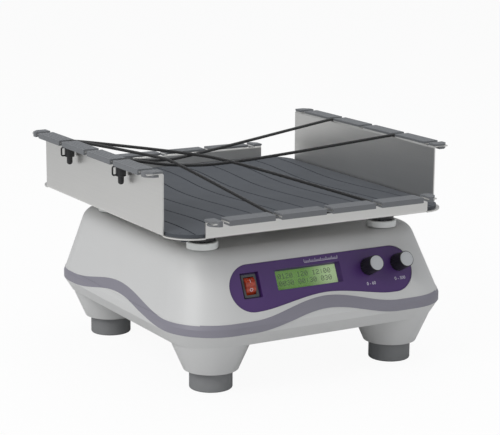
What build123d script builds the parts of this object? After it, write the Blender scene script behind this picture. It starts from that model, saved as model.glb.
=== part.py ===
"""Bench orbital shaker: a sheet-metal tray that circles on a drive crank and four idler cranks.

Frame: millimetres, +Z up, the panel faces -Y, X runs to the right along the front.
The origin lies on the table, under the middle of the tray in its rest position.
"""
from build123d import *
import math
import os

os.makedirs("parts", exist_ok=True)

# Orbit: the tray's centre circles the base's centre at this radius
ORBIT_R = 11.0
ORBIT_ANGLE = 155.0
BASE_X = -ORBIT_R * math.cos(math.radians(ORBIT_ANGLE))
BASE_Y = -ORBIT_R * math.sin(math.radians(ORBIT_ANGLE))

# Base housing, sizes about the base's own centre
HALF_X = 146.0
HALF_Y = 151.0
CORNER_R = 48.0
SKIRT_Z = 47.0
WAIST_LOW_Z = 59.0
WAIST_HIGH_Z = 66.0
TOP_Z = 131.0
SIDE_LEAN = 18.5
FRONT_LEAN = 30.0
TOP_CORNER_R = 42.0
SKIRT_IN = 7.5
WALL = 3.0
TOP_ROUND = 15.0

# Trim band between the two housings, whose edges rise in a wave at the middle of each side
BAND_LOW_Z = 59.5
BAND_HIGH_Z = 70.0
WAVE_RISE = 12.5
WAVE_HALF = 80.0
BAND_PROUD = 0.4

# Legs and feet
FOOT_X = 98.8
FOOT_Y = 105.6
FOOT_R = 20.0
FOOT_H = 18.5
LEG_LOW_R = 25.5
LEG_SPREAD = 0.44
LEG_TOP_Z = 53.0

# Control panel, in the sloping front face: u along X, v up the slope
PANEL_LEAN = math.degrees(math.atan(FRONT_LEAN / (TOP_Z - WAIST_HIGH_Z)))
PANEL_U = 2.0
PANEL_HALF = 76.0
PANEL_END = 98.5
PANEL_TOP_V = 56.5
PANEL_END_V = 31.5
PANEL_LOW_V = 12.0
PANEL_MID_V = 21.2
PANEL_DEEP = 1.2
PANEL_T = 3.0
LEDGE = 4.0
LCD_U = -11.8
LCD_V = 38.4
LCD_W = 64.5
LCD_H = 16.4
LCD_DEEP = 5.0
SWITCH_U = -73.5
SWITCH_V = 36.9
SWITCH_W = 15.0
SWITCH_H = 21.0
ROCKER_R = 8.0
ROCKER_TILT = 12.0
KNOB_US = (52.75, 86.5)
KNOB_V = 39.3
KNOB_R = 8.25
KNOB_CAP_R = 7.2
KNOB_LENGTH = 16.3

# Tray
TRAY_X = 145.7
TRAY_Y = 153.7
TRAY_CORNER = 27.6
TRAY_Z = 150.0
SHEET = 1.2
HIGH_LIP_Z = 206.5
LOW_LIP_Z = 166.5
LIP = 14.3
STRIP_W = 15.4
STRIP_H = 5.0
STRIP_LEG = 1.9
STRIP_LEG_START = 4.2
NOTCH_W = 7.0
SIDE_PITCH = 56.0
FRONT_PITCH = 53.0
CAP_CHAMFER = 6.0
MAT_T = 3.0
MAT_GAP = 1.4
GROOVE_PITCH = 28.0
GROOVE_SWING = 5.5
GROOVE_PERIOD = 234.0
GROOVE_W = 1.5
GROOVE_DEEP = 1.0

# Elastic hold-down cords
CORD_R = 1.5
CORD_GAP = 3.3

# Corner cranks: places of the cup centres in the tray's frame at rest
POST_X = 97.0
POST_FRONT_Y = -108.6
POST_REAR_Y = 75.4
CUP_R = 14.4
CUP_Z = 131.8
CUP_H = 6.0
PIN_R = 2.5
IDLER_HOUSING_H = 25.0
FIT_GAP = 0.04

# Drive train
PLATE_Z = 88.0
PLATE_T = 8.0
SHAFT_R = 6.0
BIG_PULLEY_R = 55.0
SMALL_PULLEY_R = 11.0
PULLEY_Z = 100.0
PULLEY_H = 11.0
MOTOR_DX = -62.0
MOTOR_DY = 56.0
BELT_T = 1.6
DRIVE_PIN_R = 5.0


def in_base(shape):
    """Moves a shape drawn about the base's centre to its place."""
    return Pos(BASE_X, BASE_Y, 0) * shape


def ring(outer, inner, z, height, x=0.0, y=0.0):
    """Upright tube from z upwards."""
    body = Cylinder(outer, height, align=(Align.CENTER, Align.CENTER, Align.MIN))
    hole = Cylinder(inner, height, align=(Align.CENTER, Align.CENTER, Align.MIN))
    return Pos(x, y, z) * (body - hole)


def rod(radius, z, height, x=0.0, y=0.0):
    """Upright cylinder from z upwards."""
    return Pos(x, y, z) * Cylinder(radius, height, align=(Align.CENTER, Align.CENTER, Align.MIN))


def block(x_size, y_size, z_size, x=0.0, y=0.0, z=0.0):
    """Box centred on x and y, standing on z."""
    return Pos(x, y, z) * Box(x_size, y_size, z_size, align=(Align.CENTER, Align.CENTER, Align.MIN))


def rounded(half_x, half_y, radius, z, y_shift=0.0):
    """Rounded rectangle in a level plane."""
    return Pos(0, y_shift, z) * RectangleRounded(2 * half_x, 2 * half_y, radius)


def outline_at(z, inset):
    """Housing outline at a height, drawn in by the inset."""
    if z >= WAIST_HIGH_Z:
        k = (z - WAIST_HIGH_Z) / (TOP_Z - WAIST_HIGH_Z)
        half_x = HALF_X - SIDE_LEAN * k
        half_y = HALF_Y - (FRONT_LEAN + SIDE_LEAN) / 2 * k
        shift = (FRONT_LEAN - SIDE_LEAN) / 2 * k
        radius = CORNER_R + (TOP_CORNER_R - CORNER_R) * k
    elif z <= WAIST_LOW_Z:
        k = (WAIST_LOW_Z - z) / (WAIST_LOW_Z - SKIRT_Z)
        half_x = HALF_X - SKIRT_IN * k
        half_y = HALF_Y - SKIRT_IN * k
        shift = 0.0
        radius = CORNER_R - SKIRT_IN * k
    else:
        half_x, half_y, shift, radius = HALF_X, HALF_Y, 0.0, CORNER_R
    return rounded(half_x - inset, half_y - inset, radius - inset, z, shift)


def leg_radius(z):
    """Radius of the leg's cone at a height."""
    return LEG_LOW_R + LEG_SPREAD * (z - FOOT_H)


def housing_form(inset, floor_inset, round_top):
    """Whole outer form of the base, shrunk by an inset, with its four legs."""
    top_z = TOP_Z - max(floor_inset, 0.0)
    low_z = SKIRT_Z + max(floor_inset, 0.0)
    upper = loft([outline_at(WAIST_HIGH_Z, inset), outline_at(top_z, inset)], ruled=True)
    if round_top > 0:
        upper = fillet(upper.faces().sort_by(Axis.Z)[-1].edges(), round_top)
    middle = extrude(outline_at(WAIST_LOW_Z, inset), WAIST_HIGH_Z - WAIST_LOW_Z)
    lower = loft([outline_at(low_z, inset), outline_at(WAIST_LOW_Z, inset)], ruled=True)
    form = upper + middle + lower
    foot_z = FOOT_H + max(floor_inset, 0.0)
    for sx in (-1, 1):
        for sy in (-1, 1):
            cone = Cone(leg_radius(foot_z) - inset, leg_radius(LEG_TOP_Z) - inset, LEG_TOP_Z - foot_z,
                        align=(Align.CENTER, Align.CENTER, Align.MIN))
            form += Pos(sx * FOOT_X, sy * FOOT_Y, foot_z) * cone
    return form


def wave_profile(level):
    """Half wave above a level, as a closed face in a vertical plane."""
    low = level - 30.0
    crest = Spline((-WAVE_HALF, level), (-WAVE_HALF / 2, level + WAVE_RISE / 2), (0, level + WAVE_RISE),
                   (WAVE_HALF / 2, level + WAVE_RISE / 2), (WAVE_HALF, level),
                   tangents=((1, 0), (1, 0)))
    sides = Polyline((WAVE_HALF, level), (WAVE_HALF, low), (-WAVE_HALF, low), (-WAVE_HALF, level))
    return make_face(crest + sides)


def below_wave(level):
    """Everything under the wavy parting line at a level."""
    solid = block(400, 400, level + 5, z=-5)
    profile = wave_profile(level)
    solid += extrude(Plane.XZ * profile, 200, both=True)
    solid += extrude(Plane.YZ * profile, 200, both=True)
    return solid


def panel_plane(depth=0.0):
    """Plane on the front face; its local x is u and its local y is v, and depth goes inwards."""
    lean = math.radians(PANEL_LEAN)
    normal = (0, -math.cos(lean), math.sin(lean))
    start = Vector(0, -HALF_Y, WAIST_HIGH_Z)
    return Plane(origin=start - Vector(*normal) * depth, x_dir=(1, 0, 0), z_dir=normal)


def panel_slab(sketch, near, far):
    """Solid from a sketch in (u, v), from depth near to depth far behind the front face."""
    return extrude(panel_plane(far) * sketch, far - near)


def panel_outline(grow=0.0):
    """Bean-shaped outline of the control panel: round ends and a lower edge that follows the band."""
    foot = PANEL_LOW_V - grow
    rise = PANEL_MID_V - PANEL_LOW_V
    head = PANEL_TOP_V + grow
    end = PANEL_END + grow
    low = Spline((-PANEL_HALF, foot), (-50, foot + 0.28 * rise), (-25, foot + 0.75 * rise),
                 (0, foot + rise), (25, foot + 0.75 * rise), (50, foot + 0.28 * rise),
                 (PANEL_HALF, foot), tangents=((1, 0), (1, 0)))
    right = ThreePointArc((PANEL_HALF, foot), (end, PANEL_END_V), (PANEL_HALF + 2, head))
    top = Line((PANEL_HALF + 2, head), (-PANEL_HALF - 2, head))
    left = ThreePointArc((-PANEL_HALF - 2, head), (-end, PANEL_END_V), (-PANEL_HALF, foot))
    return Pos(PANEL_U, 0) * make_face(low + right + top + left)


def window(width, height, u, v, radius=1.0):
    """Rounded window in (u, v)."""
    return Pos(u, v) * RectangleRounded(width, height, radius)


POST_SPOTS = {
    "front_left": (-POST_X, POST_FRONT_Y),
    "front_right": (POST_X, POST_FRONT_Y),
    "rear_left": (-POST_X, POST_REAR_Y),
    "rear_right": (POST_X, POST_REAR_Y),
}


def idler_axis(spot):
    """Axis of a corner crank in the base."""
    return spot[0] + BASE_X, spot[1] + BASE_Y


BOSS_SPOTS = [(sx * 118.0, sy * 48.0) for sx in (-1, 1) for sy in (-1, 1)]
MOTOR_SPOT = (MOTOR_DX, MOTOR_DY)


def make_upper_housing():
    """Moulded top cover, open below, with the panel recess, crank holes and screw bosses."""
    shell = housing_form(0, 0, TOP_ROUND) - housing_form(WALL, WALL, TOP_ROUND - WALL)
    pad = panel_slab(panel_outline(3.0), WALL - 0.5, 6.5)
    shell += pad
    for x, y in BOSS_SPOTS:
        shell += rod(5.0, BAND_HIGH_Z - 16, TOP_Z - WALL - BAND_HIGH_Z + 17, x, y)
    shell -= below_wave(BAND_HIGH_Z) - block(262, 250, 60, z=BAND_HIGH_Z - 18)
    shell -= panel_slab(panel_outline(0.0), -2.0, PANEL_DEEP + PANEL_T)
    shell -= panel_slab(panel_outline(-LEDGE), 0.0, 12.0)
    for x, y in BOSS_SPOTS:
        shell -= rod(1.6, BAND_HIGH_Z - 17, 30.0, x, y)
    shell -= rod(24.0, TOP_Z - 10, 20.0)
    shell = in_base(shell)
    for spot in POST_SPOTS.values():
        x, y = idler_axis(spot)
        shell -= rod(4.0, TOP_Z - 10, 20.0, x, y)
    shell -= inlet_plane_box(27.6, 20.2, -6.0, 12.0)
    return shell


def make_trim_band():
    """Wavy band clamped between the two housings, a little proud of both."""
    outer = housing_form(-BAND_PROUD, 0, 0)
    inner = housing_form(WALL - BAND_PROUD, WALL, 0)
    band = (outer - inner) & (below_wave(BAND_HIGH_Z) - below_wave(BAND_LOW_Z))
    return in_base(band)


def make_lower_housing():
    """Moulded tub with four conical legs, closed by its floor."""
    tub = housing_form(0, 0, 0) - housing_form(WALL, WALL, 0)
    tub = tub & below_wave(BAND_LOW_Z)
    for x, y in BOSS_SPOTS:
        tub += rod(5.5, SKIRT_Z, BAND_HIGH_Z - 16.2 - SKIRT_Z, x, y)
        tub -= rod(1.8, SKIRT_Z - 1, 30.0, x, y)
        tub -= rod(3.6, SKIRT_Z - 1, 3.5, x, y)
    for sx in (-1, 1):
        for sy in (-1, 1):
            tub -= rod(3.1, FOOT_H - 1, 10.0, sx * FOOT_X, sy * FOOT_Y)
    vents = [(col * 9.0 - 40.5, 0.0) for col in range(10)]
    for x, y in vents:
        tub -= Pos(x, y + 60, SKIRT_Z - 1) * extrude(SlotOverall(38, 3.2, rotation=90), 10)
    return in_base(tub)


def make_feet():
    """Four rubber feet, each a short cylinder with a rounded tread and a hollow for its screw."""
    feet = []
    for sx in (-1, 1):
        for sy in (-1, 1):
            foot = rod(FOOT_R, 0, FOOT_H)
            foot = fillet(foot.edges().group_by(Axis.Z)[0], 1.5)
            foot -= rod(6.5, -1, 9.0)
            foot -= rod(3.1, 5, 20.0)
            feet.append(in_base(Pos(sx * FOOT_X, sy * FOOT_Y, 0) * foot))
    return feet


def make_foot_screws():
    """Screws that hold the feet and the legs to the pillars."""
    screws = []
    for sx in (-1, 1):
        for sy in (-1, 1):
            screw = rod(5.0, 4.4, 3.6) + rod(3.0, 8.0, 26.0)
            screw -= rod(2.0, 4.0, 2.2)
            screws.append(in_base(Pos(sx * FOOT_X, sy * FOOT_Y, 0) * screw))
    return screws


def make_pillars():
    """Four pillars that stand in the legs and carry the bearing plate."""
    pillars = []
    for sx in (-1, 1):
        for sy in (-1, 1):
            base_z = FOOT_H + WALL
            pillar = rod(7.0, base_z, PLATE_Z - base_z) + rod(12.0, base_z, 3.0)
            pillar -= rod(3.0, base_z - 1, 40.0)
            pillars.append(in_base(Pos(sx * FOOT_X, sy * FOOT_Y, 0) * pillar))
    return pillars


def make_bearing_plate():
    """Plate that carries the drive shaft, the corner cranks and the motor."""
    plate = extrude(Pos(0, 3, PLATE_Z) * RectangleRounded(232, 230, 16), PLATE_T)
    for sx in (-1, 1):
        plate += rod(14.0, PLATE_Z, PLATE_T, sx * POST_X, POST_FRONT_Y)
    plate -= block(22, 34, 20, SWITCH_U, -114, PLATE_Z - 5)
    plate -= rod(22.0, PLATE_Z - 1, 20.0)
    plate -= rod(8.0, PLATE_Z - 1, 20.0, *MOTOR_SPOT)
    for x, y in ((-60, -45), (60, -45), (62, 45)):
        plate -= rod(14.0, PLATE_Z - 1, 20.0, x, y)
    for x, y in BOSS_SPOTS:
        plate -= rod(7.0, PLATE_Z - 1, 20.0, x, y)
    return in_base(plate)


def make_drive_bearing_housing():
    """Flanged housing under the plate for the two drive-shaft bearings."""
    low = PLATE_Z - 28
    body = rod(20.0, low, 28.0 + PLATE_T) + rod(32.0, PLATE_Z - 5, 5.0)
    body -= rod(14.0, low - 1, 40.0)
    body += ring(15.0, 11.0, low + 12, 12.0)
    return in_base(body)


def make_drive_bearings():
    """Two ball bearings on the drive shaft, each drawn as its two rings and cage in one."""
    low = PLATE_Z - 28
    return [in_base(ring(14.0, SHAFT_R + FIT_GAP, z, 8.0)) for z in (low + 3.9, low + 24.1)]


def make_idler_housings():
    """Small bearing housings for the corner cranks, standing on the plate."""
    bodies = []
    for spot in POST_SPOTS.values():
        x, y = idler_axis(spot)
        low = PLATE_Z + PLATE_T
        body = rod(11.5, low, IDLER_HOUSING_H)
        body -= rod(9.5, low + IDLER_HOUSING_H - 15.0, 30.0)
        body -= rod(4.5, low - 1, 30.0)
        bodies.append(Pos(x, y, 0) * body)
    return bodies


def make_idler_bearings():
    """One pair of ball bearings in each corner housing."""
    bearings = []
    for spot in POST_SPOTS.values():
        x, y = idler_axis(spot)
        for z in (PLATE_Z + PLATE_T + 10.0, PLATE_Z + PLATE_T + 18.5):
            bearings.append(ring(9.5, PIN_R + FIT_GAP, z, 6.0, x, y))
    return bearings


def make_idler_cup(spot):
    """White plastic crank: a shallow cup whose spindle is off its centre by the orbit radius."""
    x, y = spot
    ax, ay = idler_axis(spot)
    cup = rod(CUP_R, CUP_Z, CUP_H, x, y)
    cup = chamfer(cup.edges().group_by(Axis.Z)[-1], 0.6)
    cup -= rod(CUP_R - 2.0, CUP_Z + 3.2, CUP_H, x, y)
    cup += ring(5.0, 3.5, CUP_Z + 3.2, 1.2, x, y)
    cup -= rod(PIN_R, CUP_Z - 1, CUP_H + 5, x, y)
    cup -= rod(PIN_R, CUP_Z - 1, 3.6, ax, ay)
    return cup


def make_idler_pins(spot):
    """The two steel pins of a corner crank: one into the base, one up into the tray's hub."""
    x, y = spot
    ax, ay = idler_axis(spot)
    low = PLATE_Z + PLATE_T + 8.0
    lower = rod(PIN_R, low, CUP_Z + 2.6 - low, ax, ay)
    upper = rod(PIN_R, CUP_Z, TRAY_Z - 1.4 - CUP_Z, x, y)
    return [lower, upper]


def make_drive_shaft():
    """Drive shaft with its crank disc and the off-centre pin that carries the tray."""
    low = PLATE_Z - 28
    shaft = rod(SHAFT_R, low, 124.5 - low)
    shaft += rod(19.0, 120.5, 6.0)
    shaft = in_base(shaft)
    shaft += rod(DRIVE_PIN_R, 124.0, TRAY_Z - 1.6 - 124.0)
    return shaft


def make_drive_pulley():
    """Large ribbed pulley with spokes cut as round windows."""
    body = rod(BIG_PULLEY_R, PULLEY_Z, PULLEY_H)
    groove_count = 5
    for i in range(groove_count):
        z = PULLEY_Z + 1.7 + i * 1.9
        body -= ring(BIG_PULLEY_R + 1, BIG_PULLEY_R - 1.0, z - 0.45, 0.9)
    body -= rod(SHAFT_R, PULLEY_Z - 1, 20.0)
    body -= ring(48.0, 16.0, PULLEY_Z + 4.5, 10.0)
    for i in range(6):
        a = math.radians(60 * i + 30)
        body -= rod(10.0, PULLEY_Z - 1, 20.0, 32 * math.cos(a), 32 * math.sin(a))
    return in_base(body)


def make_counterweight():
    """Half-round weight on the shaft, opposite the tray's pin."""
    outer = Cylinder(50.0, 7.0, align=(Align.CENTER, Align.CENTER, Align.MIN))
    weight = outer - Pos(-60, 0, -1) * Box(120, 140, 20, align=(Align.CENTER, Align.CENTER, Align.MIN))
    weight += Cylinder(17.0, 7.0, align=(Align.CENTER, Align.CENTER, Align.MIN))
    weight -= Pos(0, 0, -1) * Cylinder(SHAFT_R, 20, align=(Align.CENTER, Align.CENTER, Align.MIN))
    turn = ORBIT_ANGLE + 180.0
    return in_base(Pos(0, 0, PULLEY_Z + PULLEY_H + 0.8) * (Rot(0, 0, turn) * weight))


def make_motor():
    """Brushless motor hung under the plate."""
    x, y = MOTOR_SPOT
    body = rod(29.0, SKIRT_Z + WALL + 1.5, PLATE_Z - SKIRT_Z - WALL - 1.5, x, y)
    body = fillet(body.edges().group_by(Axis.Z)[0], 3.0)
    body += rod(7.5, PLATE_Z - 0.5, 5.0, x, y)
    body -= rod(PIN_R + FIT_GAP, PLATE_Z - 20, 40.0, x, y)
    return in_base(body)


def make_motor_screws():
    """Screws through the plate into the motor's face."""
    screws = []
    for i in range(4):
        a = math.radians(45 + 90 * i)
        x = MOTOR_SPOT[0] + 19 * math.cos(a)
        y = MOTOR_SPOT[1] + 19 * math.sin(a)
        screws.append(in_base(rod(3.0, PLATE_Z + PLATE_T, 2.2, x, y)))
    return screws


def make_motor_pulley():
    """Small ribbed pulley on the motor shaft."""
    x, y = MOTOR_SPOT
    body = rod(SMALL_PULLEY_R, PULLEY_Z, PULLEY_H, x, y)
    for i in range(5):
        z = PULLEY_Z + 1.7 + i * 1.9
        body -= ring(SMALL_PULLEY_R + 1, SMALL_PULLEY_R - 1.0, z - 0.45, 0.9, x, y)
    body -= rod(PIN_R, PULLEY_Z - 1, 20.0, x, y)
    return in_base(body)


def make_motor_shaft():
    """Output shaft of the motor."""
    return in_base(rod(PIN_R, PLATE_Z - 15, PULLEY_Z + PULLEY_H + 1 - PLATE_Z + 15, *MOTOR_SPOT))


def belt_line(extra):
    """Outline round the two pulleys at a distance from their rims."""
    big = BIG_PULLEY_R + extra
    small = SMALL_PULLEY_R + extra
    dx, dy = MOTOR_SPOT
    span = math.hypot(dx, dy)
    heading = math.atan2(dy, dx)
    lean = math.acos((big - small) / span)
    up, down = heading + lean, heading - lean
    ends = []
    for angle in (up, down):
        ends.append(((big * math.cos(angle), big * math.sin(angle)),
                     (dx + small * math.cos(angle), dy + small * math.sin(angle))))
    far = heading + math.pi
    tip = (dx + small * math.cos(heading), dy + small * math.sin(heading))
    back = (big * math.cos(far), big * math.sin(far))
    edge = Line(ends[0][0], ends[0][1])
    edge += ThreePointArc(ends[0][1], tip, ends[1][1])
    edge += Line(ends[1][1], ends[1][0])
    edge += ThreePointArc(ends[1][0], back, ends[0][0])
    return make_face(edge)


def make_belt():
    """Flat belt round both pulleys."""
    loop = belt_line(0.15 + BELT_T) - belt_line(0.15)
    return in_base(extrude(Pos(0, 0, PULLEY_Z + 1.2) * loop, PULLEY_H - 2.4))


def make_power_supply():
    """Enclosed mains supply on the floor of the lower housing."""
    box = block(96, 50, 26, 52, 62, SKIRT_Z + WALL)
    box = fillet(box.edges().filter_by(Axis.Z), 2.0)
    for i in range(8):
        box -= block(2.0, 30, 3, 52 - 28 + 8 * i, 62, SKIRT_Z + WALL + 24)
    return in_base(box)


def make_control_board():
    """Main circuit board on four short posts, with its larger components."""
    low = SKIRT_Z + WALL
    board = block(110, 66, 1.6, 8, -72, low + 6)
    for sx in (-1, 1):
        for sy in (-1, 1):
            board += rod(2.5, low, 6.0, 8 + sx * 50, -72 + sy * 28)
    board += block(24, 18, 10, -24, -66, low + 7.6)
    board += rod(6.0, low + 7.6, 15.0, 12, -58)
    board += rod(6.0, low + 7.6, 15.0, 28, -58)
    board += block(14, 14, 2.2, 8, -84, low + 7.6)
    board += block(30, 8, 9, 42, -84, low + 7.6)
    return in_base(board)


def inlet_plane():
    """Plane of the rear face where the mains inlet sits."""
    lean = math.atan(SIDE_LEAN / (TOP_Z - WAIST_HIGH_Z))
    z = 92.0
    y = HALF_Y - (z - WAIST_HIGH_Z) * math.tan(lean)
    normal = (0, math.cos(lean), math.sin(lean))
    return Plane(origin=(BASE_X - 50.0, BASE_Y + y, z), x_dir=(-1, 0, 0), z_dir=normal)


def inlet_plane_box(width, height, low, high):
    """Block in the inlet's own directions, from low to high along its outward normal."""
    sketch = RectangleRounded(width, height, 2.0)
    return extrude(inlet_plane().offset(low) * sketch, high - low)


def make_inlet():
    """Mains inlet: flanged body with a six-sided well and three flat pins."""
    flange = extrude(inlet_plane() * RectangleRounded(48, 24, 3.0), 2.4)
    body = inlet_plane_box(27.2, 19.8, -21.0, 0.5)
    inlet = flange + body
    well = Polyline((-12, -8), (12, -8), (12, 4), (8, 8), (-8, 8), (-12, 4), close=True)
    inlet -= extrude(inlet_plane().offset(-15.0) * make_face(well), 20.0)
    for u, v in ((-7, -2), (7, -2), (0, 3)):
        pin = Pos(u, v) * Rectangle(2.0, 4.0)
        inlet += extrude(inlet_plane().offset(-16.0) * pin, 13.0)
    for u in (-20, 20):
        inlet -= extrude(inlet_plane().offset(-1.0) * (Pos(u, 0) * Circle(1.7)), 6.0)
    return inlet


def make_inlet_screws():
    """Two screws through the inlet's flange."""
    screws = []
    for u in (-20, 20):
        head = extrude(inlet_plane().offset(2.4) * (Pos(u, 0) * Circle(3.0)), 1.6)
        shank = extrude(inlet_plane().offset(0.05) * (Pos(u, 0) * Circle(1.65)), 2.5)
        screws.append(head + shank)
    return screws


def make_housing_screws():
    """Screws from below that clamp the two housings and the band."""
    screws = []
    for x, y in BOSS_SPOTS:
        screw = rod(3.3, SKIRT_Z + 0.2, 2.2, x, y) + rod(1.5, SKIRT_Z + 2, 28.0, x, y)
        screws.append(in_base(screw))
    return screws


def make_control_panel():
    """Moulded panel plate with a well for the display and one for the switch."""
    near, far = PANEL_DEEP, PANEL_DEEP + PANEL_T
    plate = panel_slab(panel_outline(-0.15), near, far)
    lcd_out = window(LCD_W + 8.0, LCD_H + 5.2, LCD_U, LCD_V, 1.6)
    switch_out = window(SWITCH_W + 7.6, SWITCH_H + 6.0, SWITCH_U, SWITCH_V, 1.6)
    plate += panel_slab(lcd_out, far - 0.5, PANEL_DEEP + LCD_DEEP + 0.8)
    plate += panel_slab(switch_out, far - 0.5, far + 3.2)
    mouth = panel_plane(near) * window(LCD_W + 5.6, LCD_H + 2.8, LCD_U, LCD_V, 0.8)
    throat = panel_plane(PANEL_DEEP + LCD_DEEP) * window(LCD_W + 1.2, LCD_H + 1.0, LCD_U, LCD_V, 0.6)
    plate -= loft([throat, mouth], ruled=True)
    plate -= panel_slab(window(LCD_W + 1.2, LCD_H + 1.0, LCD_U, LCD_V, 0.6), near + 3, 9.0)
    plate -= panel_slab(window(SWITCH_W + 4.4, SWITCH_H + 2.8, SWITCH_U, SWITCH_V, 0.8), 0.0, far + 1.2)
    plate -= panel_slab(window(SWITCH_W - 1.2, SWITCH_H - 1.2, SWITCH_U, SWITCH_V, 0.5), 0.0, 12.0)
    for u in KNOB_US:
        plate -= panel_slab(Pos(u, KNOB_V) * Circle(3.6), 0.0, 12.0)
    return in_base(plate)


def make_lcd_window():
    """Clear sheet in front of the display."""
    return in_base(panel_slab(window(LCD_W + 1.0, LCD_H + 0.8, LCD_U, LCD_V, 0.5), PANEL_DEEP + LCD_DEEP,
                              PANEL_DEEP + LCD_DEEP + 0.55))


def make_lcd_module():
    """Character display: metal frame, glass and its board."""
    near = PANEL_DEEP + LCD_DEEP + 0.8
    frame = panel_slab(window(LCD_W + 6.5, LCD_H + 7.0, LCD_U, LCD_V, 0.8), near, near + 5.5)
    board = panel_slab(window(80.0, 34.0, LCD_U, LCD_V, 0.6), near + 5.5, near + 7.1)
    chips = panel_slab(window(16.0, 16.0, LCD_U - 18, LCD_V, 1.0), near + 7.1, near + 8.6)
    chips += panel_slab(window(16.0, 16.0, LCD_U + 18, LCD_V, 1.0), near + 7.1, near + 8.6)
    return in_base(frame + board + chips)


SWITCH_FLOOR = PANEL_DEEP + PANEL_T + 1.2
ROCKER_AXIS_DEEP = SWITCH_FLOOR + 1.0


def make_switch_frame():
    """Switch housing: a bezel on the well's floor and a body that snaps in behind it."""
    bezel = panel_slab(window(SWITCH_W, SWITCH_H, SWITCH_U, SWITCH_V, 0.8), SWITCH_FLOOR - 1.8, SWITCH_FLOOR)
    body = panel_slab(window(SWITCH_W - 1.6, SWITCH_H - 1.6, SWITCH_U, SWITCH_V, 0.4), SWITCH_FLOOR - 0.2,
                      SWITCH_FLOOR + 12.0)
    frame = bezel + body
    frame -= panel_slab(window(SWITCH_W - 4.4, 2 * ROCKER_R + 0.5, SWITCH_U, SWITCH_V, 0.2), -1.0,
                        SWITCH_FLOOR + 8.5)
    for v in (-6.0, 0.0, 6.0):
        frame += panel_slab(window(4.8, 0.8, SWITCH_U, SWITCH_V + v, 0.2), SWITCH_FLOOR + 11.9,
                            SWITCH_FLOOR + 19.0)
    return in_base(frame)


def rocker_side():
    """Side outline of the rocker, in (v, outward) about its pivot, with round ends and a shallow vee."""
    high = math.radians(20)
    low = math.radians(-12)
    right_top = (ROCKER_R * math.cos(high), ROCKER_R * math.sin(high))
    right_low = (ROCKER_R * math.cos(low), ROCKER_R * math.sin(low))
    left_top = (-right_top[0], right_top[1])
    left_low = (-right_low[0], right_low[1])
    face = Line(right_top, (0.0, 1.3)) + Line((0.0, 1.3), left_top)
    face += ThreePointArc(left_top, (-ROCKER_R, 0.0), left_low)
    face += ThreePointArc(left_low, (0.0, -5.2), right_low)
    face += ThreePointArc(right_low, (ROCKER_R, 0.0), right_top)
    return make_face(face)


def make_rocker():
    """Rocker button with its two tilted faces."""
    width = SWITCH_W - 5.0
    base_plane = panel_plane(ROCKER_AXIS_DEEP)
    origin = base_plane.origin + base_plane.x_dir * (SWITCH_U + width / 2) + base_plane.y_dir * SWITCH_V
    side = Plane(origin=origin, x_dir=base_plane.y_dir, z_dir=-base_plane.x_dir)
    tilted = Rot(0, 0, -ROCKER_TILT) * rocker_side()
    return in_base(extrude(side * tilted, width))


def make_pots():
    """Two potentiometers with threaded bushes and nuts, behind the panel."""
    far = PANEL_DEEP + PANEL_T
    pots = []
    for u in KNOB_US:
        place = Pos(u, KNOB_V)
        can = panel_slab(place * Circle(8.2), far + 0.3, far + 8.0)
        can += panel_slab(place * Rectangle(12, 10) - place * Circle(2), far + 2.0, far + 4.0)
        can += panel_slab(place * Circle(3.4), PANEL_DEEP - 2.2, far + 0.4)
        can += panel_slab(place * RegularPolygon(5.6, 6), PANEL_DEEP - 2.0, PANEL_DEEP - 0.05)
        can -= panel_slab(place * Circle(2.0 + FIT_GAP), -6.0, far + 6.0)
        pots.append(in_base(can))
    return pots


def make_pot_shaft(u):
    """Spindle of a potentiometer, inside the knob."""
    far = PANEL_DEEP + PANEL_T
    return in_base(panel_slab(Pos(u, KNOB_V) * Circle(2.0), -11.0, far + 5.8))


def make_knob(u):
    """Fluted knob body, hollow behind for the nut, with a seat for its cap."""
    start = PANEL_DEEP - 0.5
    end = PANEL_DEEP - KNOB_LENGTH
    foot = panel_plane(start) * (Pos(u, KNOB_V) * Circle(KNOB_R))
    head = panel_plane(end) * (Pos(u, KNOB_V) * Circle(KNOB_R - 0.75))
    body = loft([foot, head], ruled=True)
    flutes = 18
    for i in range(flutes):
        a = 2 * math.pi * i / flutes
        spot = Pos(u + (KNOB_R + 0.15) * math.cos(a), KNOB_V + (KNOB_R + 0.15) * math.sin(a))
        body -= panel_slab(spot * Circle(0.7), end + 2.2, start + 1)
    body -= panel_slab(Pos(u, KNOB_V) * Circle(6.4), start - 2.6, start + 1)
    body -= panel_slab(Pos(u, KNOB_V) * Circle(2.0), -11.0, start)
    body -= panel_slab(Pos(u, KNOB_V) * Circle(KNOB_CAP_R - 0.4), end - 1, end + 1.0)
    return in_base(body)


def make_knob_cap(u):
    """Pale cap disc pressed into the knob's face, with an off-centre pointer dimple."""
    end = PANEL_DEEP - KNOB_LENGTH
    cap = panel_slab(Pos(u, KNOB_V) * Circle(KNOB_CAP_R - 0.4), end - 0.5, end + 1.0)
    cap -= panel_slab(Pos(u, KNOB_V) * Circle(KNOB_CAP_R - 1.6), end - 0.9, end - 0.2)
    return in_base(cap)


def flange_profile(reach, lip_z):
    """Section of a wall and its outward lip, in (across, up), from the floor's edge."""
    mid = SHEET / 2
    x_wall = reach - mid
    path = FilletPolyline((x_wall - 8.0, TRAY_Z + mid), (x_wall, TRAY_Z + mid), (x_wall, lip_z - mid),
                          (reach + LIP, lip_z - mid), radius=1.6)
    return trace(path, line_width=SHEET)


def notch_places(pitch):
    """Middles of the five cord notches along a wall."""
    return [pitch * i for i in (-2, -1, 0, 1, 2)]


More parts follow.
